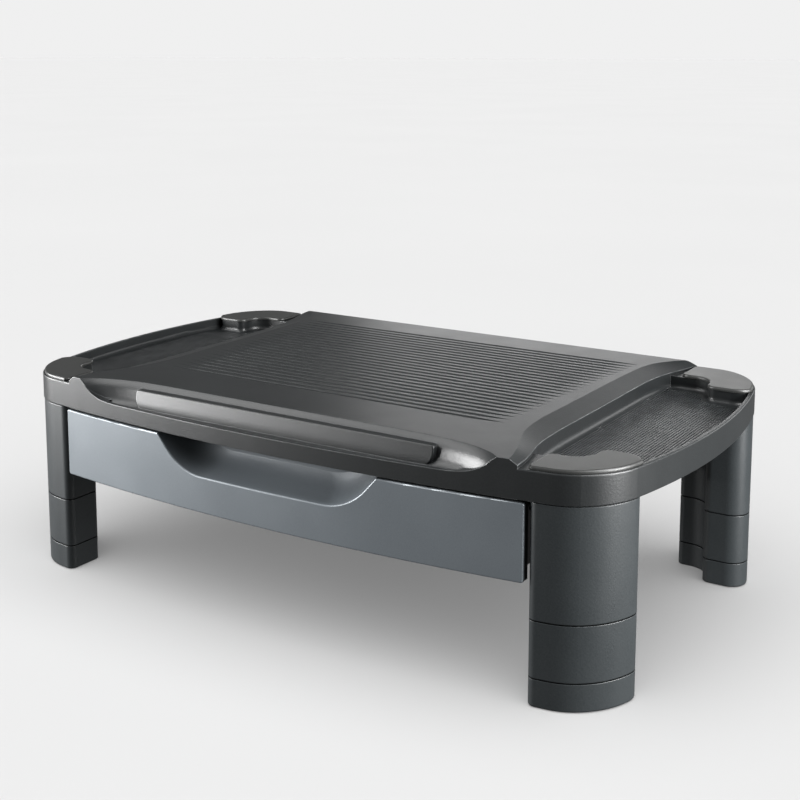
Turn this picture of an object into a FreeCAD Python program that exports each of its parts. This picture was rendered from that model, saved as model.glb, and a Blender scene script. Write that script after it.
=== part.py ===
import FreeCAD, Part
import math
import os

# Monitor riser stand with a drawer, two side trays and stackable legs.
# Millimetres, +Z up, front towards -Y. Shapes are drawn with Y measured from the middle of the legs and
# saved moved by -CENTRE_Y, so the origin is on the floor under the centre of the outline.

os.makedirs("parts", exist_ok=True)
V = FreeCAD.Vector

# Overall outline
HALF_WIDTH = 283.0        # half of the width at mid depth
FRONT_Y = -177.0          # front face at the centre line
BACK_Y = 158.0            # rear face
FRONT_RADIUS = 1650.0     # bow of the front face
CORNER_X = 226.0          # where the front bow turns into the corner
CORNER_R1 = 44.0
CORNER_R2 = 58.0
CORNER_ANGLE = 34.0       # tangent angle where the two corner radii meet
REAR_R1 = 36.0
SIDE_Y = 4.0              # depth at which the stand is widest
CENTRE_Y = (FRONT_Y + BACK_Y) / 2

# Heights
PAD_PROUD = 0.5
FOOT_TOP = 20.0
SPACER_TOP = 60.0
LEG_TOP = 141.0           # also the lower edge of the top shell
RIM_TOP = 162.0
PLATFORM_EDGE = 164.2     # outer crease of the platform
PLATFORM_TOP = 168.0
TRAY_FLOOR = 151.5
TRAY_COVE = 4.0           # fillet round the floor of a side tray
GROOVE_LIP = 153.5
GROOVE_FLOOR = 149.5
BLOCK_TOP = 164.2
WALL = 3.0
WEB_BOTTOM = 158.8        # lower edge of the stiffening webs under the platform

# Block in the tablet trough
BLOCK_HALF = 137.0
BLOCK_FACE = (-160.0, -157.0)   # foot and top of its sloping face
BLOCK_BACK = -142.0
BLOCK_CORNERS = (10.0, 2.0)     # lower and upper corners of the face

# Legs, front right corner; the rear ones use the second value of each pair
LEG_INSET = 0.6
LEG_INNER_X = (210.8, 208.6)
PRONG_Y = (-129.8, 123.0)
LOBE_Y = (-102.5, 97.5)
LOBE_X = 238.0
NOTCH_R = 18.0
LOBE_R = 6.5
PRONG_CORNER_R = 6.0      # where the inner side meets the outline
LOBE_CORNER_R = 14.0      # where the rounded lobe meets the outline
LEG_WALL = 2.5
SPIGOT_GAP = 0.4
SPIGOT_WALL = 2.3
SPIGOT_LENGTH = 24.0
FOOT_FLOOR = 4.5
PAD_SEAT = 2.0            # how deep a foot pad is let into its foot
PLATE = 3.5               # top plate of a leg section
LEG_TOP_CHAMFER = 0.75
JOINT_GAP = 1.0           # height and depth of the shadow line under each leg section
JOINT_DEPTH = 1.2
SCREW_POINTS = (((222.0, -147.0), (254.0, -118.0)), ((222.0, 141.0), (254.0, 113.0)))

# Drawer
DRAWER_BOTTOM = 84.5
DRAWER_TOP = 139.3
DRAWER_HALF = 208.6
PANEL = 3.0               # painted front panel
BEZEL = 4.0               # plate of the tray behind the panel
TRAY_HALF = 198.0
TRAY_BACK = 96.0
TRAY_WALL = 2.2
TRAY_TOP = 131.0
FLANGE_OUT = 203.0
FLANGE_Z = 128.4
SCOOP_HALF = 55.5         # half of the level part of the scoop's lower edge
SCOOP_Z = 113.1
SCOOP_R = 48.0
SCOOP_ANGLE = 48.0        # slope of the scoop's straight sides
SCOOP_WALL = 2.2
PANEL_EDGE = 1.1          # rounding of the painted panel's front edges
PANEL_CORNER = 1.8        # rounding of its four corners seen from the front
TRAVEL = 200.0            # how far the drawer pulls out before its catches meet the rail stops
PANEL_SCREWS = [(x, z) for x in (-150.0, 150.0) for z in (100.0, 124.0)]

# Rails: a web beside the drawer, a lip under its flange and a seat screwed to the shell
RAIL_FRONT = -138.0
RAIL_BACK = TRAY_BACK + 3.5
RAIL_SEAT = 145.0
RAIL_SCREWS = [(197.0, -110.0), (197.0, -16.0), (197.0, 78.0)]

# Surface detail
GROOVE_COUNT = 26
GROOVE_FIRST = -94.0
GROOVE_PITCH = 8.5
RIB_COUNT = 31
RIB_PITCH = 2.4


def box(x0, x1, y0, y1, z0, z1):
    return Part.makeBox(x1 - x0, y1 - y0, z1 - z0, V(x0, y0, z0))


def cyl(x, y, z0, z1, r):
    return Part.makeCylinder(r, z1 - z0, V(x, y, z0))


def mirror_x(shape):
    return shape.mirror(V(0, 0, 0), V(1, 0, 0))


def arc(centre, radius, start, end):
    """Edge from angle start to angle end, in degrees, anticlockwise."""
    circle = Part.Circle(V(centre[0], centre[1], 0), V(0, 0, 1), radius)
    return Part.Arc(circle, math.radians(start), math.radians(end)).toShape()


def polar(centre, radius, angle):
    a = math.radians(angle)
    return (centre[0] + radius * math.cos(a), centre[1] + radius * math.sin(a))


def outline_wire(inset):
    """Closed outline of the stand, moved inwards by inset: tangent arcs and one straight rear edge."""
    a0 = math.degrees(math.asin(CORNER_X / FRONT_RADIUS))
    front = (0.0, FRONT_Y + FRONT_RADIUS)
    turn = polar(front, FRONT_RADIUS, a0 - 90)
    c1 = polar(turn, CORNER_R1, a0 + 90)
    meet = polar(c1, CORNER_R1, CORNER_ANGLE - 90)
    c2 = polar(meet, CORNER_R2, CORNER_ANGLE + 90)
    # radius of the side bow that touches the corner arc
    d = HALF_WIDTH - c2[0]
    side_r = (d * d + (c2[1] - SIDE_Y) ** 2 - CORNER_R2 ** 2) / (2 * (d - CORNER_R2))
    side = (HALF_WIDTH - side_r, SIDE_Y)
    a2 = math.degrees(math.atan2(c2[1] - side[1], c2[0] - side[0]))
    # rear corner: two radii fitted between the rear edge and the side bow
    y1 = BACK_Y - REAR_R1
    y2 = y1 + (REAR_R1 - CORNER_R2) * math.cos(math.radians(CORNER_ANGLE))
    x2 = side[0] + math.sqrt((side_r - CORNER_R2) ** 2 - (y2 - side[1]) ** 2)
    x1 = x2 - (REAR_R1 - CORNER_R2) * math.sin(math.radians(CORNER_ANGLE))
    a3 = math.degrees(math.atan2(y2 - side[1], x2 - side[0]))
    half = [
        arc(front, FRONT_RADIUS - inset, -90, a0 - 90),
        arc(c1, CORNER_R1 - inset, a0 - 90, CORNER_ANGLE - 90),
        arc(c2, CORNER_R2 - inset, CORNER_ANGLE - 90, a2),
        arc(side, side_r - inset, a2, a3),
        arc((x2, y2), CORNER_R2 - inset, a3, 90 - CORNER_ANGLE),
        arc((x1, y1), REAR_R1 - inset, 90 - CORNER_ANGLE, 90),
    ]
    rear = Part.makeLine(V(x1, BACK_Y - inset, 0), V(-x1, BACK_Y - inset, 0))
    edges = half + [rear] + [mirror_x(e) for e in half]
    return Part.Wire(Part.__sortEdges__(edges))


def outline(inset, z0, z1):
    face = Part.Face(outline_wire(inset))
    face.translate(V(0, 0, z0))
    return face.extrude(V(0, 0, z1 - z0))


def prism(points, z0, z1):
    face = Part.Face(Part.makePolygon([V(x, y, z0) for x, y in points + points[:1]]))
    return face.extrude(V(0, 0, z1 - z0))


def vertical_edges(shape, x, y):
    """Vertical edges whose foot lies at x, y."""
    found = []
    for e in shape.Edges:
        a, b = e.Vertexes[0].Point, e.Vertexes[-1].Point
        if abs(a.x - b.x) < 0.01 and abs(a.y - b.y) < 0.01 and abs(a.z - b.z) > 0.5:
            if math.hypot(a.x - x, a.y - y) < 3.0:
                found.append(e)
    return found


def leg_prism(rear, grow, z0, z1):
    """Right-hand leg plan offset by grow (negative is inwards), from z0 to z1: two arms around a rounded
    notch, with the outer side following the outline of the stand."""
    s = 1 if rear else -1
    prong, lobe = PRONG_Y[rear] - s * grow, LOBE_Y[rear] - s * grow
    inner, notch = LEG_INNER_X[rear] - grow, LOBE_X - grow
    region = prism([(inner, s * 220.0), (320, s * 220.0), (320, lobe), (notch, lobe), (notch, prong),
                    (inner, prong)], z0, z1)
    body = outline(LEG_INSET - grow, z0, z1).common(region).Solids[0]
    for x, y, r in ((notch, prong, NOTCH_R - grow), (inner, prong, 5.0 + grow), (notch, lobe, LOBE_R + grow)):
        body = body.makeFillet(max(r, 0.6), vertical_edges(body, x, y))
    upright = [e for e in body.Edges if e.BoundBox.ZLength > 0.5]
    prong_corner = [e for e in upright if abs(e.BoundBox.XMin - inner) < 0.01
                    and s * (e.BoundBox.YMin - prong) > 15]
    body = body.makeFillet(max(PRONG_CORNER_R + grow, 0.6), prong_corner)
    upright = [e for e in body.Edges if e.BoundBox.ZLength > 0.5]
    lobe_corner = [e for e in upright if abs(e.BoundBox.YMin - lobe) < 0.01 and e.BoundBox.XMin > 260]
    return body.makeFillet(max(LOBE_CORNER_R + grow, 0.6), lobe_corner)


def rim_edges(shape, z, keep=None):
    return [e for e in shape.Edges if abs(e.BoundBox.ZMin - z) < 0.01 and abs(e.BoundBox.ZMax - z) < 0.01
            and (keep is None or keep(e))]


def shadow_line(rear, z):
    """Ring to cut round the lower edge of a leg section, so that its joint shows as a narrow gap."""
    ring = leg_prism(rear, 0.5, z - 1, z + JOINT_GAP)
    return ring.cut(leg_prism(rear, -JOINT_DEPTH, z - 2, z + JOINT_GAP + 1))


def leg_upper(rear):
    """Fixed leg column: open socket below, screw posts under its top plate."""
    body = leg_prism(rear, 0, SPACER_TOP, LEG_TOP)
    body = body.makeChamfer(LEG_TOP_CHAMFER, rim_edges(body, LEG_TOP)).cut(shadow_line(rear, SPACER_TOP))
    body = body.cut(leg_prism(rear, -LEG_WALL, SPACER_TOP - 1, LEG_TOP - PLATE))
    for x, y in SCREW_POINTS[rear]:
        body = body.fuse(cyl(x, y, LEG_TOP - 34, LEG_TOP - PLATE, 4.6))
        body = body.cut(cyl(x, y, LEG_TOP - 35, LEG_TOP + 1, 2.05))
    return body.removeSplitter()


def leg_section(rear, z0, z1, floor):
    """Stackable section with a spigot on top; floor is the thickness of its bottom, 0 for open."""
    body = leg_prism(rear, 0, z0, z1)
    if floor:
        body = body.makeFillet(1.2, rim_edges(body, z0))
    else:
        body = body.cut(shadow_line(rear, z0))
    spigot = leg_prism(rear, -(LEG_WALL + SPIGOT_GAP), z1 - 2, z1 + SPIGOT_LENGTH)
    spigot = spigot.makeChamfer(1.0, rim_edges(spigot, z1 + SPIGOT_LENGTH))
    body = body.fuse(spigot)
    inner = LEG_WALL + SPIGOT_GAP + SPIGOT_WALL
    if floor:
        body = body.cut(leg_prism(rear, -inner, z0 + floor, z1 + SPIGOT_LENGTH + 1))
    else:
        body = body.cut(leg_prism(rear, -inner, z0 - 1, z1 + SPIGOT_LENGTH + 1))
        body = body.cut(leg_prism(rear, -LEG_WALL, z0 - 1, z1 - PLATE))
    return body.removeSplitter()


def leg_foot(rear):
    body = leg_section(rear, PAD_PROUD, FOOT_TOP, FOOT_FLOOR)
    return body.cut(leg_prism(rear, -4.8, PAD_PROUD - 1, PAD_PROUD + PAD_SEAT))


def foot_pad(rear):
    body = leg_prism(rear, -5.0, 0, PAD_PROUD + PAD_SEAT)
    return body.makeFillet(0.6, rim_edges(body, 0))


def leg_screws(rear):
    """Pan-head screws in the well under the cap, down into the posts of the leg."""
    made = []
    for x, y in SCREW_POINTS[rear]:
        head = cyl(x, y, LEG_TOP + 4, LEG_TOP + 6.6, 4.0)
        head = head.makeFillet(1.2, rim_edges(head, LEG_TOP + 6.6))
        screw = head.fuse(cyl(x, y, LEG_TOP - 16, LEG_TOP + 4, 2.0))
        slot = box(x - 2.4, x + 2.4, y - 0.5, y + 0.5, LEG_TOP + 5.4, LEG_TOP + 7)
        cross = box(x - 0.5, x + 0.5, y - 2.4, y + 2.4, LEG_TOP + 5.4, LEG_TOP + 7)
        made.append(screw.cut(slot).cut(cross).removeSplitter())
    return made


def cap(rear):
    """Thin cover over the well of a leg corner, with two pegs that sit in the well."""
    body = leg_prism(rear, 1.2, RIM_TOP, RIM_TOP + 2.6).common(outline(1.4, RIM_TOP - 1, RIM_TOP + 4))
    body = body.removeSplitter()
    body = body.makeFillet(1.5, rim_edges(body, RIM_TOP + 2.6))
    lip = leg_prism(rear, -WALL - 0.25, RIM_TOP - 3.0, RIM_TOP + 0.5)
    lip = lip.cut(leg_prism(rear, -WALL - 1.8, RIM_TOP - 4, RIM_TOP))
    return body.fuse(lip).removeSplitter()


def crease_wire(points, z):
    """Closed wire of the platform: smooth curves down both sides, straight across front and rear."""
    right = Part.BSplineCurve()
    right.interpolate(Points=[V(x, y, z) for x, y in points])
    edge = right.toShape()
    left = mirror_x(edge)
    (x0, y0), (x1, y1) = points[0], points[-1]
    front = Part.makeLine(V(-x0, y0, z), V(x0, y0, z))
    rear = Part.makeLine(V(x1, y1, z), V(-x1, y1, z))
    return Part.Wire(Part.__sortEdges__([front, edge, rear, left]))


UPPER_CREASE = [(203, -190), (199, -168), (191, -138), (179.5, -108), (175, -84), (174, -30), (174, 40),
                (175, 98), (179, 128), (190, 148), (201, 160), (212, 173)]
LOWER_CREASE = [(206, -190), (204.5, -168), (202, -145), (196, -120), (193.2, -96), (192.5, -40), (192.5, 40),
                (193, 86), (196, 114), (202, 137), (209, 160), (215, 173)]


def platform():
    """Raised central platform: sloping shoulders between the two creases, upright below."""
    top = crease_wire(UPPER_CREASE, PLATFORM_TOP)
    low = crease_wire(LOWER_CREASE, PLATFORM_EDGE)
    shoulder = Part.makeLoft([low, top], True, True)
    base = Part.Face(low).extrude(V(0, 0, LEG_TOP - PLATFORM_EDGE))
    body = base.fuse(shoulder).common(outline(0, LEG_TOP, PLATFORM_TOP + 1)).removeSplitter()
    return body.makeFillet(1.2, rim_edges(body, PLATFORM_TOP, lambda e: e.BoundBox.YMin > BACK_Y - 0.1))


def tray_pocket():
    """Right-hand side tray, bounded by the platform, the rim and the two leg wells."""
    room = outline(WALL, TRAY_FLOOR, RIM_TOP + 8)
    low = Part.Face(crease_wire(LOWER_CREASE, TRAY_FLOOR - 1)).extrude(V(0, 0, 30))
    room = room.cut(low).common(box(150, 300, -200, 200, 100, 200))
    for rear in (0, 1):
        room = room.cut(leg_prism(rear, 0, TRAY_FLOOR - 1, RIM_TOP + 9))
    room = room.cut(box(150, LEG_INNER_X[0] + 8, -200, PRONG_Y[0], 100, 200))
    room = room.cut(box(150, LEG_INNER_X[1] + 8, PRONG_Y[1], 200, 100, 200))
    solid = max(room.Solids, key=lambda s: s.Volume)
    return solid.removeSplitter()


# Rear edge of the trough at the platform's top, and how far its wall has come forward at each height
TROUGH_CREASE = [(0, -146), (60, -146), (110, -146), (140, -147.2), (164, -151.5), (180, -157.5),
                 (190.5, -165)]
TROUGH_PROFILE = [(GROOVE_FLOOR, 18), (150.4, 13.5), (153, 9.6), (157, 7.2), (161, 6.0), (164.5, 4.2),
                  (167, 1.9), (PLATFORM_TOP + 0.5, -0.6)]
# Opening of the trough seen from the front: a level lip whose ends curve up to the platform
LIP_CURVE = [(150, GROOVE_LIP), (160, 154.0), (169, 155.4), (176, 158.0), (182, 161.3), (187, 165.2),
             (190.5, 169.5)]


def trough_wire(z, inset):
    """Closed wire of the tablet trough at one height: smooth curve behind, open area in front."""
    half = [(x * (1 - 0.003 * inset), y - inset) for x, y in TROUGH_CREASE]
    back = Part.BSplineCurve()
    back.interpolate(Points=[V(-x, y, z) for x, y in half[:0:-1]] + [V(x, y, z) for x, y in half])
    x, y = half[-1]
    front = Part.makePolygon([V(x, y, z), V(x, -215, z), V(-x, -215, z), V(-x, y, z)])
    return Part.Wire(Part.__sortEdges__([back.toShape()] + front.Edges))


def groove_cut():
    """Trough along the front edge for a tablet, open at the front above its lip."""
    trough = Part.makeLoft([trough_wire(z, inset) for z, inset in TROUGH_PROFILE], True, False)
    y, z1 = -230, PLATFORM_TOP + 10
    side = Part.BSplineCurve()
    side.interpolate(Points=[V(x, y, z) for x, z in LIP_CURVE], InitialTangent=V(1, 0, 0),
                     FinalTangent=V(0.45, 0, 0.9))
    right = side.toShape()
    (x0, z0), (x1, z2) = LIP_CURVE[0], LIP_CURVE[-1]
    over = Part.makePolygon([V(x1, y, z2), V(x1, y, z1), V(-x1, y, z1), V(-x1, y, z2)])
    frame = [right, mirror_x(right), Part.makeLine(V(-x0, y, z0), V(x0, y, z0))] + over.Edges
    window = Part.Face(Part.Wire(Part.__sortEdges__(frame))).extrude(V(0, 120, 0))
    # below the lip the trough stays behind the fascia, and its ends slope up to the lip
    top = GROOVE_LIP + 0.5
    ends = [V(-x0, y, GROOVE_FLOOR), V(x0, y, GROOVE_FLOOR), V(x0 + 16, y, top), V(-x0 - 16, y, top)]
    slope = Part.Face(Part.makePolygon(ends + ends[:1])).extrude(V(0, 100, 0))
    deep = outline(3.6, GROOVE_FLOOR, top).common(slope)
    return trough.common(window.fuse(deep))


def rest_block():
    """Pad in the middle of the trough, with a sloping face that a tablet leans on."""
    x, z0, z1 = BLOCK_HALF, GROOVE_FLOOR - 1, BLOCK_TOP
    foot, top = BLOCK_FACE
    side = Part.makePolygon([V(-x, y, z) for y, z in
                             ((foot, z0), (top, z1), (BLOCK_BACK, z1), (BLOCK_BACK, z0), (foot, z0))])
    block = Part.Face(side).extrude(V(2 * x, 0, 0))
    for r, z in zip(BLOCK_CORNERS, (z0, z1)):
        block = block.makeFillet(r, [e for e in block.Edges if abs(abs(e.CenterOfMass.x) - x) < 0.1
                                     and abs(e.CenterOfMass.z - z) < 0.1])
    face = min(block.Faces, key=lambda f: f.CenterOfMass.y)
    return block.makeFillet(1.2, [e for e in face.Edges if e.CenterOfMass.z > z0 + 0.1])


def platform_groove(y, half):
    """Shallow rounded groove along X whose ends fade out."""
    lift, r = 3.0, 3.85
    fade = 24.0
    z = PLATFORM_TOP + lift
    pts = [V(-half, y, z), V(-half, y, z - lift), V(-half + fade, y, z - r), V(half - fade, y, z - r),
           V(half, y, z - lift), V(half, y, z), V(-half, y, z)]
    return Part.Face(Part.makePolygon(pts)).revolve(V(0, y, z), V(1, 0, 0), 360)


def top_shell():
    body = outline(0, LEG_TOP, RIM_TOP)
    body = body.makeFillet(1.0, rim_edges(body, RIM_TOP)).makeFillet(0.7, rim_edges(body, LEG_TOP))
    body = body.fuse(platform())
    pocket = tray_pocket()
    pocket = pocket.makeFillet(TRAY_COVE, rim_edges(pocket, TRAY_FLOOR))
    body = body.cut(pocket).cut(mirror_x(pocket))
    body = body.cut(groove_cut()).fuse(rest_block())
    # hollow underside: below the trays and trough first, then up under the platform
    under = outline(WALL, LEG_TOP - 1, TRAY_FLOOR - 2.5)
    trough_floor = box(-196, 196, -190, -136, GROOVE_FLOOR - 2.5, 200)
    high = box(-171, 171, -140, BACK_Y - WALL, LEG_TOP, PLATFORM_TOP - 3.2)
    flank = box(-189, 189, -116, 118, LEG_TOP, PLATFORM_EDGE - 3.5)
    under = under.cut(trough_floor).fuse([high, flank])
    for rear in (0, 1):
        well = leg_prism(rear, 0, LEG_TOP - 2, 200)
        under = under.cut(well).cut(mirror_x(well))
    # stiffening webs left standing under the platform
    for x in (-114, -38, 38, 114):
        under = under.cut(box(x - 1.1, x + 1.1, -140, BACK_Y, WEB_BOTTOM, 200))
    for y in (-66, 10, 86):
        under = under.cut(box(-171, 171, y - 1.1, y + 1.1, WEB_BOTTOM, 200))
    for x, y in RAIL_SCREWS:
        under = under.cut(cyl(x, y, RAIL_SEAT, 200, 5.0)).cut(cyl(-x, y, RAIL_SEAT, 200, 5.0))
    body = body.cut(under)
    for rear in (0, 1):
        well = leg_prism(rear, -WALL, LEG_TOP + 4, RIM_TOP + 5)
        body = body.cut(well).cut(mirror_x(well))
        for x, y in SCREW_POINTS[rear]:
            body = body.cut(cyl(x, y, LEG_TOP - 1, LEG_TOP + 5, 2.3))
            body = body.cut(cyl(-x, y, LEG_TOP - 1, LEG_TOP + 5, 2.3))
    for x, y in RAIL_SCREWS:
        for s in (1, -1):
            body = body.cut(cyl(s * x, y, RAIL_SEAT - 1, RAIL_SEAT + 6.4, 1.55))
    fine = []
    for i in range(GROOVE_COUNT):
        y = GROOVE_FIRST + i * GROOVE_PITCH
        fine.append(platform_groove(y, 158 + 0.065 * (y - GROOVE_FIRST)))
    for i in range(RIB_COUNT):
        fine += tray_rib(198.6 + RIB_PITCH * i)
    return body.cut(Part.makeCompound(fine)).removeSplitter()


def tray_rib(x):
    """One fine groove along each tray floor, stopping short of the leg wells and the rim."""
    step = 1 / (1 + math.exp(-(x - 231) / 3.0))
    out = max(0.0, (x - 246) / 30.0) ** 2
    y0 = -124 + 28 * step + 18 * out
    y1 = 117 - 26 * step - 18 * out
    return [box(a, a + 0.9, y0, y1, TRAY_FLOOR - 0.7, TRAY_FLOOR + 1) for a in (x - 0.45, -x - 0.45)]


def rail():
    top = TRAY_TOP + 0.5
    web = box(204.4, 206.6, RAIL_FRONT, RAIL_BACK, FLANGE_Z - 3.2, RAIL_SEAT)
    lip = box(200.0, 206.6, RAIL_FRONT, RAIL_BACK, FLANGE_Z - 3.2, FLANGE_Z - 0.5)
    seat = box(190.0, 206.6, RAIL_FRONT, RAIL_BACK, RAIL_SEAT - 2.4, RAIL_SEAT)
    keeper = box(200.0, 206.6, RAIL_FRONT, RAIL_BACK, top, top + 2.2)
    closed_stop = box(200.0, 206.6, RAIL_BACK - 3, RAIL_BACK, FLANGE_Z - 3.2, top + 2.2)
    open_stop = box(196.2, 206.6, RAIL_FRONT, RAIL_FRONT + 2, top, top + 3.0)
    body = web.fuse([lip, seat, keeper, closed_stop, open_stop])
    for x, y in RAIL_SCREWS:
        body = body.cut(cyl(x, y, RAIL_SEAT - 3, RAIL_SEAT + 1, 1.8))
    return body.removeSplitter()


def rail_screws():
    made = []
    for x, y in RAIL_SCREWS:
        screw = cyl(x, y, RAIL_SEAT - 4.6, RAIL_SEAT - 2.4, 3.2).fuse(
            cyl(x, y, RAIL_SEAT - 2.4, RAIL_SEAT + 6.0, 1.5))
        screw = screw.cut(box(x - 2.0, x + 2.0, y - 0.4, y + 0.4, RAIL_SEAT - 5, RAIL_SEAT - 3.7))
        screw = screw.cut(box(x - 0.4, x + 0.4, y - 2.0, y + 2.0, RAIL_SEAT - 5, RAIL_SEAT - 3.7))
        made += [screw, mirror_x(screw)]
    return made


def front_skin(inset, thick, half, z0, z1):
    """Slice that follows the bowed front face."""
    outer = outline(inset, z0, z1).cut(outline(inset + thick, z0 - 1, z1 + 1))
    return outer.common(box(-half, half, -200, -140, z0 - 1, z1 + 1))


def scoop_profile(y, half, z, grow):
    """Closed wire at depth y: level bottom, two large arcs and straight sloping sides, moved out by grow."""
    r, a = SCOOP_R + grow, math.radians(SCOOP_ANGLE)
    low, high = z - grow, DRAWER_TOP + 6
    bend = V(half + r * math.sin(a), y, low + r * (1 - math.cos(a)))
    middle = V(half + r * math.sin(a / 2), y, low + r * (1 - math.cos(a / 2)))
    top = V(bend.x + (high - bend.z) / math.tan(a), y, high)
    right = [Part.Arc(V(half, y, low), middle, bend).toShape(), Part.makeLine(bend, top)]
    ends = [Part.makeLine(V(-half, y, low), V(half, y, low)), Part.makeLine(top, V(-top.x, y, high))]
    return Part.Wire(Part.__sortEdges__(right + [mirror_x(e) for e in right] + ends))


def scoop(grow):
    """Hollow of the finger grip: deep behind the lip, closing towards the back."""
    sections = ((-186, 0, 0), (-168, 1, 0.6), (-156 + 0.5 * grow, 5, 5), (-148 + grow, 10, 14))
    wires = [scoop_profile(y, SCOOP_HALF - less, SCOOP_Z + rise, grow) for y, less, rise in sections]
    return Part.makeLoft(wires, True, False)


def front_y(x, inset):
    """Depth of the bowed front face at x, moved inwards by inset."""
    return FRONT_Y + FRONT_RADIUS - math.sqrt((FRONT_RADIUS - inset) ** 2 - x * x)


def rod_y(x, z, y0, y1, r):
    return Part.makeCylinder(r, y1 - y0, V(x, y0, z), V(0, 1, 0))


def drawer_front():
    panel = front_skin(0.4, PANEL, DRAWER_HALF, DRAWER_BOTTOM, DRAWER_TOP)
    corners = [e for e in panel.Edges if e.BoundBox.XLength < 0.01 and e.BoundBox.ZLength < 0.01]
    panel = panel.makeFillet(PANEL_CORNER, corners)
    grip = scoop(SCOOP_WALL).common(outline(0.5, DRAWER_BOTTOM, DRAWER_TOP))
    body = panel.fuse(grip).cut(scoop(0)).removeSplitter()
    face = max(body.Faces, key=lambda f: f.Area if f.BoundBox.YMin < FRONT_Y + 0.5 else 0)
    body = body.makeFillet(PANEL_EDGE, face.OuterWire.Edges)
    for x, z in PANEL_SCREWS:
        back = front_y(x, 0.4 + PANEL)
        body = body.fuse(rod_y(x, z, back - 1.0, back + 2.4, 3.0))
        body = body.cut(rod_y(x, z, back - 1.2, back + 3.0, 1.3))
    return body.removeSplitter()


def drawer_front_screws():
    """Short screws from inside the drawer into the bosses of the painted front."""
    made = []
    for x, z in PANEL_SCREWS:
        seat = front_y(x, 0.4 + PANEL) + 3.4
        screw = rod_y(x, z, seat, seat + 1.8, 2.6).fuse(rod_y(x, z, seat - 4.4, seat, 1.25))
        made.append(screw.cut(box(x - 1.6, x + 1.6, seat + 1.0, seat + 3, z - 0.35, z + 0.35)).cut(
            box(x - 0.35, x + 0.35, seat + 1.0, seat + 3, z - 1.6, z + 1.6)))
    return made


def drawer_tray():
    bezel = front_skin(0.4 + PANEL, BEZEL, DRAWER_HALF, DRAWER_BOTTOM + 1.2, DRAWER_TOP - 1.2)
    hull = outline(0.4 + PANEL, DRAWER_BOTTOM + 1.2, TRAY_TOP).common(
        box(-TRAY_HALF, TRAY_HALF, -200, TRAY_BACK, 0, 200))
    body = bezel.fuse(hull)
    inside = outline(0.4 + PANEL + BEZEL, DRAWER_BOTTOM + 1.2 + TRAY_WALL, 200).common(
        box(-TRAY_HALF + TRAY_WALL, TRAY_HALF - TRAY_WALL, -200, TRAY_BACK - TRAY_WALL, 0, 200))
    body = body.cut(inside)
    for s in (1, -1):
        a, b = sorted((s * (TRAY_HALF - 0.5), s * FLANGE_OUT))
        body = body.fuse(box(a, b, RAIL_FRONT + 2, TRAY_BACK, FLANGE_Z, TRAY_TOP))
        # catch that meets the rail's front stop when the drawer is out
        a, b = sorted((s * (TRAY_HALF - TRAY_WALL), s * (TRAY_HALF + 1.6)))
        catch = RAIL_FRONT + 2.5 + TRAVEL
        body = body.fuse(box(a, b, catch, catch + 3.0, TRAY_TOP, TRAY_TOP + 3.3))
    body = body.cut(scoop(SCOOP_WALL + 0.3))
    for x, z in PANEL_SCREWS:
        back = front_y(x, 0.4 + PANEL)
        body = body.cut(rod_y(x, z, back - 1.5, back + 2.6, 3.2))
        body = body.cut(rod_y(x, z, back, back + 6, 1.6)).cut(rod_y(x, z, back + 3.4, back + 8, 3.1))
    return body.removeSplitter()


def save(name, shape):
    solids = []
    for part in (shape if isinstance(shape, list) else [shape]):
        solids += part.Solids
    solids = [s.translated(V(0, -CENTRE_Y, 0)) for s in solids]
    out = solids[0] if len(solids) == 1 else Part.makeCompound(solids)
    out.exportStep("parts/" + name + ".step")
    print(name, len(solids), round(sum(s.Volume for s in solids) / 1000.0, 1), "cm3",
          all(s.isValid() for s in solids))


save("top_shell", top_shell())
CORNERS = (("front", 0), ("rear", 1))
for corner, rear in CORNERS:
    for side in ("right", "left"):
        place = mirror_x if side == "left" else (lambda s: s)
        name = corner + "_" + side
        save("cap_" + name, place(cap(rear)))
        save("leg_upper_" + name, place(leg_upper(rear)))
        save("leg_spacer_" + name, place(leg_section(rear, FOOT_TOP, SPACER_TOP, 0)))
        save("leg_foot_" + name, place(leg_foot(rear)))
        save("foot_pad_" + name, place(foot_pad(rear)))
        save("leg_screws_" + name, [place(s) for s in leg_screws(rear)])
save("drawer_front", drawer_front())
save("drawer_tray", drawer_tray())
save("drawer_front_screws", drawer_front_screws())
save("rail_right", rail())
save("rail_left", mirror_x(rail()))
save("rail_screws", rail_screws())
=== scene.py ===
"""Monitor riser stand: finishes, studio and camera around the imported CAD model. Metres, in the CAD frame."""
import math

import bpy
from mathutils import Euler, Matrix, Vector


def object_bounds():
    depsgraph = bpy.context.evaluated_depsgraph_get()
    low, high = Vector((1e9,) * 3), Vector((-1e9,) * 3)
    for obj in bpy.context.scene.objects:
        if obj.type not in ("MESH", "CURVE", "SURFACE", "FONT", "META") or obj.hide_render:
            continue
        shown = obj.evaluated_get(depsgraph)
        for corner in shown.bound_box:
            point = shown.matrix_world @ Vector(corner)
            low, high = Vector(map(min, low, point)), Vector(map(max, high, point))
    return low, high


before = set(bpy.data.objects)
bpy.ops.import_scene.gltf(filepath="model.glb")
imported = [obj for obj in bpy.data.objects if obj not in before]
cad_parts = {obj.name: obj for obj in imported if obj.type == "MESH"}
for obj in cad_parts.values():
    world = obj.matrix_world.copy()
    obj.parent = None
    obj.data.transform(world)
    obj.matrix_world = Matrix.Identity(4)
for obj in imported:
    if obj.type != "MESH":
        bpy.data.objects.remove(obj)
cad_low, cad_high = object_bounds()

MM = 0.001
CENTRE = (cad_low + cad_high) / 2

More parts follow.
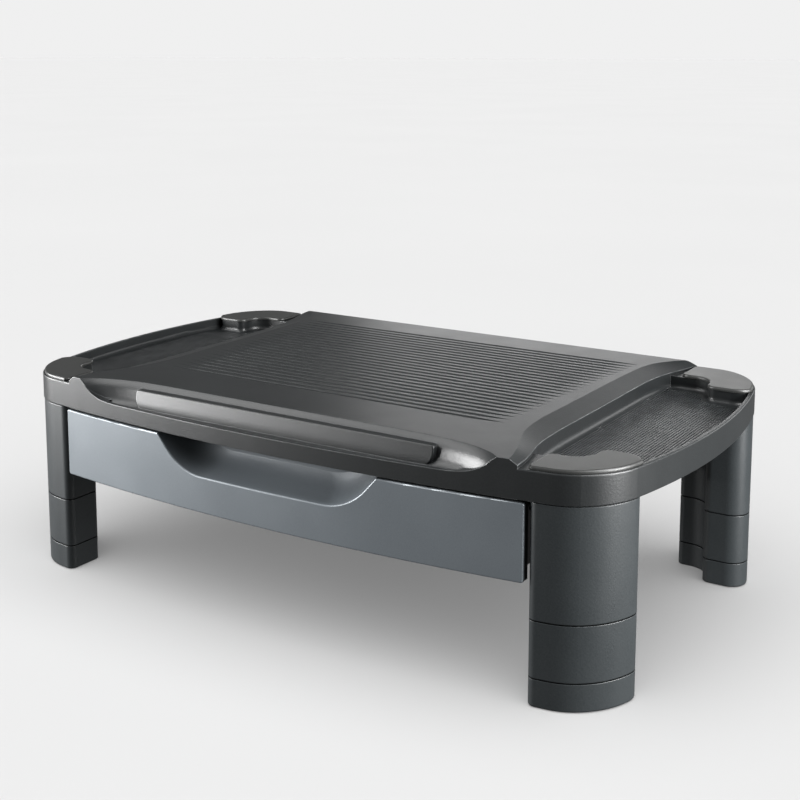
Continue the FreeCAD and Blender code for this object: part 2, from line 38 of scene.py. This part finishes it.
# Camera: the photograph's viewing angle
CAMERA_AT = (0.578, -0.8824, 0.4293)
CAMERA_YAW = 32.61        # degrees, turned left from looking along +Y
CAMERA_PITCH = 8.25       # degrees below the horizon
CAMERA_LENS = 58.86       # mm on a 36 mm sensor
CAMERA_SHIFT = (0.003, -0.2)

# Softboxes for the object: name, azimuth, elevation, distance in metres, size in metres, power in watts.
# Azimuth 0 is in front of the object and 90 at its right.
SOFTBOXES = [
    ("left_box", -58, 10, 1.25, (0.80, 0.60), 40),
    ("right_box", 88, 12, 1.00, (0.45, 0.50), 24),
    ("front_high_box", -60, 52, 1.50, (0.90, 0.90), 12),
    ("right_high_box", 90, 50, 1.50, (0.70, 0.70), 27),
    ("rear_right_box", 150, 14, 1.60, (0.70, 0.70), 4),
    ("rear_left_box", -160, 12, 1.80, (0.90, 0.35), 3),
]
# Suns for the floor: name, strength, whether the object shades them
FLOOR_SUNS = [("floor_wash", 1.8, True), ("floor_fill", 2.1, False)]
SUN_WIDTH = 110           # degrees across, for a soft shadow
SUN_TILT = (25, 0, 30)    # degrees

FLOOR_HALF = 60.0
FLOOR_TONES = ((0.66, 0.66, 0.66), (0.69, 0.69, 0.69))
AMBIENT = 0.15            # strength of the even light from all around
BACKDROP = 0.87           # how bright the surroundings look behind the floor's edge

# Painted shade in joints and in the drawer's finger scoop
JOINT_SHADE_REACH = 2.2 * MM    # joints narrower than this get painted shade and lose their gloss
JOINT_SHADE = (0.003, 0.003, 0.003)
SCOOP_REACH = 32 * MM     # depth of shade inside the drawer's finger scoop
SCOOP_SHADE = (0.006, 0.007, 0.008)


# ---------------------------------------------------------------- node helpers

class Finish:
    """A material and short calls that add nodes to it. An input is a value or another node's output."""

    def __init__(self, name):
        self.material = bpy.data.materials.new(name)
        self.material.use_nodes = True
        self.tree = self.material.node_tree
        self.tree.nodes.clear()

    def add(self, kind, inputs=None, **settings):
        made = self.tree.nodes.new("ShaderNode" + kind)
        for key, value in settings.items():
            setattr(made, key, value)
        for key, value in (inputs or {}).items():
            if isinstance(value, bpy.types.NodeSocket):
                self.tree.links.new(value, made.inputs[key])
            else:
                made.inputs[key].default_value = value
        return made

    def place(self):
        """Position in metres, riding with the piece."""
        return self.add("TexCoord").outputs["Object"]

    def noise(self, size, detail=2.0, roughness=0.5, stretch=None):
        """Smooth noise from 0 to 1 whose lumps are about size metres across."""
        where = self.place()
        if stretch:
            where = self.add("Mapping", {"Vector": where, "Scale": stretch}).outputs["Vector"]
        made = self.add("TexNoise", {"Vector": where, "Scale": 1.0 / size, "Detail": detail,
                                     "Roughness": roughness})
        return made.outputs["Fac"]

    def cells(self, size):
        """Distance to the nearest of scattered points about size metres apart."""
        made = self.add("TexVoronoi", {"Vector": self.place(), "Scale": 1.0 / size}, feature="F1")
        return made.outputs["Distance"]

    def math(self, operation, a, b):
        return self.add("Math", {0: a, 1: b}, operation=operation).outputs[0]

    def blend(self, a, b, share):
        """Value a with that share of value b in it."""
        return self.math("ADD", self.math("MULTIPLY", a, 1.0 - share), self.math("MULTIPLY", b, share))

    def ramp(self, value, low, high, to_low=0.0, to_high=1.0):
        """Value from low..high to to_low..to_high, clamped."""
        made = self.add("MapRange", {"Value": value, "From Min": low, "From Max": high,
                                     "To Min": to_low, "To Max": to_high})
        return made.outputs["Result"]

    def mix(self, share, a, b):
        """Colour a where share is 0 and b where it is 1."""
        made = self.add("Mix", {"Factor": share, 6: colour(a), 7: colour(b)}, data_type="RGBA")
        return made.outputs[2]

    def over(self, base, mask, most, tint):
        """Colour base with tint laid over it by the mask, which reaches the share most where it is 1."""
        return self.mix(self.math("MULTIPLY", mask, most), base, tint)

    def patchy(self, mask, size, low, high, least):
        """Mask broken up by noise: full strength on its lumps and only the share least between them."""
        return self.math("MULTIPLY", mask, self.ramp(self.noise(size, detail=4.0), low, high, least, 1.0))

    def rounded(self, radius):
        """Normal of the surface with its edges rounded off."""
        return self.add("Bevel", {"Radius": radius}, samples=6).outputs["Normal"]

    def edge(self, radius):
        """1 on the edges of the piece and 0 on its faces."""
        normal = self.add("NewGeometry").outputs["Normal"]
        along = self.add("VectorMath", {0: self.rounded(radius), 1: normal}, operation="DOT_PRODUCT")
        return self.ramp(along.outputs["Value"], 0.995, 0.90)

    def crevice(self, reach):
        """1 deep in joints and corners narrower than reach, 0 on open faces; the finishes paint shade with it.
        """
        open_share = self.add("AmbientOcclusion", {"Distance": reach}, samples=8).outputs["AO"]
        return self.ramp(open_share, 0.85, 0.45)

    def bump(self, height, depth, normal=None):
        inputs = {"Height": height, "Distance": depth, "Strength": 1.0}
        if normal is not None:
            inputs["Normal"] = normal
        return self.add("Bump", inputs).outputs["Normal"]

    def surface(self, **inputs):
        shader = self.add("BsdfPrincipled", {key.replace("_", " "): value for key, value in inputs.items()})
        output = self.add("OutputMaterial")
        self.tree.links.new(shader.outputs[0], output.inputs["Surface"])
        return self.material


def colour(value):
    if isinstance(value, tuple):
        return (*value, 1.0)
    return value


# ---------------------------------------------------------------- finishes

def moulded(name, dark, light, wear_and_highlight, rough, grain=1.1 * MM, depth=0.04 * MM, edge=0.8 * MM, gloss=0.5):
    """Injection-moulded plastic: spark-eroded grain, mottled tone, edges lightened partly as rubbed wear and
    partly as painted highlight, painted shade in joints.
    """
    f = Finish(name)
    speck = f.noise(grain, detail=3.0, roughness=0.65)
    pits = f.cells(grain * 1.3)
    cloud = f.noise(70 * MM, detail=3.0)
    base = f.mix(f.ramp(f.blend(cloud, speck, 0.6), 0.36, 0.64), dark, light)
    # Edges lightened partly as rubbed wear and partly as a painted highlight
    rub_and_highlight = f.patchy(f.edge(edge), 9 * MM, 0.40, 0.62, 0.35)
    base = f.over(base, rub_and_highlight, 0.7, wear_and_highlight)
    # Painted shade: joints and corners narrower than the shade reach are darkened towards near black and lose
    # gloss
    joint_shade = f.crevice(JOINT_SHADE_REACH)
    base = f.over(base, joint_shade, 0.85, JOINT_SHADE)
    smear = f.noise(25 * MM, detail=5.0, roughness=0.6, stretch=(1.0, 1.0, 0.35))
    shine = f.ramp(smear, 0.35, 0.68, *rough)
    shine = f.math("SUBTRACT", shine, f.math("MULTIPLY", rub_and_highlight, 0.08))
    relief = f.math("ADD", speck, f.math("MULTIPLY", pits, 0.7))
    normal = f.bump(relief, depth, f.rounded(edge))
    level = f.ramp(joint_shade, 0.0, 1.0, gloss, gloss * 0.15)
    return f.surface(Base_Color=base, Roughness=shine, Normal=normal, Specular_IOR_Level=level)


def painted(name, dark, light, wear_and_highlight, edge=0.6 * MM):
    """Semi-gloss metallic-look paint on a moulded front: fine orange peel under a thin clear layer, edges
    lightened partly as wear and partly as painted highlight, painted shade deep in the finger scoop.
    """
    f = Finish(name)
    cloud = f.noise(90 * MM, detail=2.0)
    flake = f.noise(0.5 * MM, detail=1.0)
    base = f.mix(f.ramp(f.blend(cloud, flake, 0.5), 0.35, 0.65), dark, light)
    # Edges lightened partly as rubbed wear and partly as a painted highlight
    base = f.over(base, f.patchy(f.edge(edge), 7 * MM, 0.42, 0.66, 0.3), 0.6, wear_and_highlight)
    # Painted shade deep in the finger scoop and the front's other hollows
    base = f.over(base, f.crevice(SCOOP_REACH), 0.5, SCOOP_SHADE)
    shine = f.ramp(f.noise(60 * MM, detail=3.0), 0.3, 0.7, 0.36, 0.44)
    peel = f.math("ADD", f.noise(1.6 * MM, detail=1.0), f.math("MULTIPLY", flake, 0.25))
    normal = f.bump(peel, 0.02 * MM, f.rounded(edge))
    return f.surface(Base_Color=base, Roughness=shine, Normal=normal, Metallic=0.25)


def rubber(name):
    """Matt black rubber with a fine pebbled skin and dust in its hollows."""
    f = Finish(name)
    pebble = f.cells(1.1 * MM)
    dust = f.ramp(f.noise(12 * MM, detail=5.0, roughness=0.7), 0.5, 0.75)
    base = f.mix(f.math("MULTIPLY", dust, 0.35), (0.012, 0.012, 0.013), (0.060, 0.058, 0.055))
    shine = f.ramp(dust, 0.0, 1.0, 0.75, 0.92)
    normal = f.bump(pebble, 0.06 * MM, f.rounded(0.4 * MM))
    return f.surface(Base_Color=base, Roughness=shine, Normal=normal, Specular_IOR_Level=0.3)


def plated(name):
    """Zinc-plated steel: turned marks, brighter where a driver has rubbed the edges."""
    f = Finish(name)
    turned = f.noise(0.5 * MM, detail=3.0, stretch=(1.0, 1.0, 6.0))
    stain = f.noise(5 * MM, detail=4.0)
    base = f.mix(f.ramp(stain, 0.4, 0.7), (0.46, 0.46, 0.45), (0.62, 0.61, 0.57))
    base = f.over(base, f.edge(0.3 * MM), 0.6, (0.80, 0.80, 0.78))
    shine = f.ramp(turned, 0.35, 0.65, 0.28, 0.48)
    normal = f.bump(turned, 0.02 * MM, f.rounded(0.25 * MM))
    return f.surface(Base_Color=base, Roughness=shine, Normal=normal, Metallic=1.0)


# One finish for each material slot of the record
FINISHES = {
    # The light edge colours, strongest on the shell and caps, are partly wear and partly painted edge highlight
    "shell_plastic": moulded("visual_shell", rough=(0.36, 0.39), dark=(0.0065, 0.0075, 0.0080),
                             light=(0.0110, 0.0125, 0.0130), wear_and_highlight=(0.160, 0.168, 0.172)),
    "leg_plastic": moulded("visual_leg", rough=(0.37, 0.41), gloss=0.4, dark=(0.016, 0.019, 0.0205),
                           light=(0.024, 0.0275, 0.029), wear_and_highlight=(0.050, 0.055, 0.058)),
    "cap_plastic": moulded("visual_cap", rough=(0.36, 0.40), grain=0.8 * MM, depth=0.02 * MM,
                           dark=(0.016, 0.0165, 0.016), light=(0.023, 0.024, 0.023), wear_and_highlight=(0.150, 0.152, 0.148)),
    "tray_plastic": moulded("visual_tray", rough=(0.44, 0.54), edge=0.5 * MM, dark=(0.010, 0.010, 0.011),
                            light=(0.016, 0.016, 0.017), wear_and_highlight=(0.050, 0.050, 0.052)),
    "rail_plastic": moulded("visual_rail", rough=(0.34, 0.46), grain=0.7 * MM, depth=0.015 * MM, edge=0.5 * MM,
                            dark=(0.016, 0.016, 0.017), light=(0.024, 0.024, 0.025), wear_and_highlight=(0.070, 0.070, 0.072)),
    "drawer_paint": painted("visual_drawer", dark=(0.104, 0.118, 0.130), light=(0.132, 0.149, 0.163),
                            wear_and_highlight=(0.300, 0.325, 0.345)),
    "rubber": rubber("visual_rubber"),
    "screw_steel": plated("visual_steel"),
}


def dress_nodes():
    """Each CAD node takes the finish of the record's slot that it was packed with."""
    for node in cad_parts.values():
        for place in node.material_slots:
            place.material = FINISHES[place.material.name.split(".")[0]]


# ---------------------------------------------------------------- studio

def floor():
    """Large pale floor that only carries the shadow: it adds no light of its own to the object."""
    h = FLOOR_HALF
    mesh = bpy.data.meshes.new("studio_floor")
    mesh.from_pydata([(-h, -h, 0), (h, -h, 0), (h, h, 0), (-h, h, 0)], [], [(0, 1, 2, 3)])
    made = bpy.data.objects.new("studio_floor", mesh)
    made.location.z = cad_low.z
    bpy.context.scene.collection.objects.link(made)
    f = Finish("studio_floor")
    base = f.mix(f.noise(0.8, detail=2.0), *FLOOR_TONES)
    mesh.materials.append(f.surface(Base_Color=base, Roughness=0.9, Specular_IOR_Level=0.0))
    made.visible_diffuse = made.visible_glossy = False
    return made


def light_only(lamp, target, state):
    """Keeps a lamp's light on one object (INCLUDE) or off it (EXCLUDE)."""
    lit = bpy.data.collections.new(lamp.name + "_receivers")
    lit.objects.link(target)
    lit.collection_objects[0].light_linking.link_state = state
    lamp.light_linking.receiver_collection = lit


def softbox(name, azimuth, elevation, distance, size, power, ground):
    """Area light aimed at the middle of the object, which doesn't reach the floor."""
    a, e = math.radians(azimuth), math.radians(elevation)
    away = Vector((math.sin(a) * math.cos(e), -math.cos(a) * math.cos(e), math.sin(e)))
    lamp = bpy.data.lights.new(name, "AREA")
    lamp.shape = "RECTANGLE"
    lamp.size, lamp.size_y = size
    lamp.energy = power
    made = bpy.data.objects.new(name, lamp)
    made.location = CENTRE + away * distance
    made.rotation_euler = away.to_track_quat("Z", "Y").to_euler()
    made.visible_camera = False
    bpy.context.scene.collection.objects.link(made)
    light_only(made, ground, "EXCLUDE")


def floor_sun(name, strength, shadows, ground):
    """Even light for the floor only."""
    lamp = bpy.data.lights.new(name, "SUN")
    lamp.energy = strength
    lamp.angle = math.radians(SUN_WIDTH)
    lamp.use_shadow = shadows
    made = bpy.data.objects.new(name, lamp)
    made.rotation_euler = [math.radians(angle) for angle in SUN_TILT]
    bpy.context.scene.collection.objects.link(made)
    light_only(made, ground, "INCLUDE")


def surroundings():
    """Dim room light, with a pale backdrop behind the floor's edge."""
    world = bpy.data.worlds.new("studio")
    bpy.context.scene.world = world
    world.use_nodes = True
    nodes, links = world.node_tree.nodes, world.node_tree.links
    nodes.clear()
    seen = nodes.new("ShaderNodeLightPath").outputs["Is Camera Ray"]
    strength = nodes.new("ShaderNodeMapRange")
    strength.inputs["To Min"].default_value = AMBIENT
    strength.inputs["To Max"].default_value = BACKDROP
    links.new(seen, strength.inputs["Value"])
    back = nodes.new("ShaderNodeBackground")
    back.inputs["Color"].default_value = (1.0, 1.0, 1.0, 1.0)
    links.new(strength.outputs["Result"], back.inputs["Strength"])
    links.new(back.outputs[0], nodes.new("ShaderNodeOutputWorld").inputs["Surface"])


def lights(ground):
    for sun in FLOOR_SUNS:
        floor_sun(*sun, ground)
    for box in SOFTBOXES:
        softbox(*box, ground)


def camera():
    data = bpy.data.cameras.new("camera")
    data.lens = CAMERA_LENS
    data.shift_x, data.shift_y = CAMERA_SHIFT
    made = bpy.data.objects.new("camera", data)
    made.location = CAMERA_AT
    made.rotation_euler = Euler((math.radians(90 - CAMERA_PITCH), 0, math.radians(CAMERA_YAW)))
    bpy.context.scene.collection.objects.link(made)
    bpy.context.scene.camera = made


dress_nodes()
ground = floor()
surroundings()
lights(ground)
camera()
bpy.context.scene.view_settings.view_transform = "Standard"
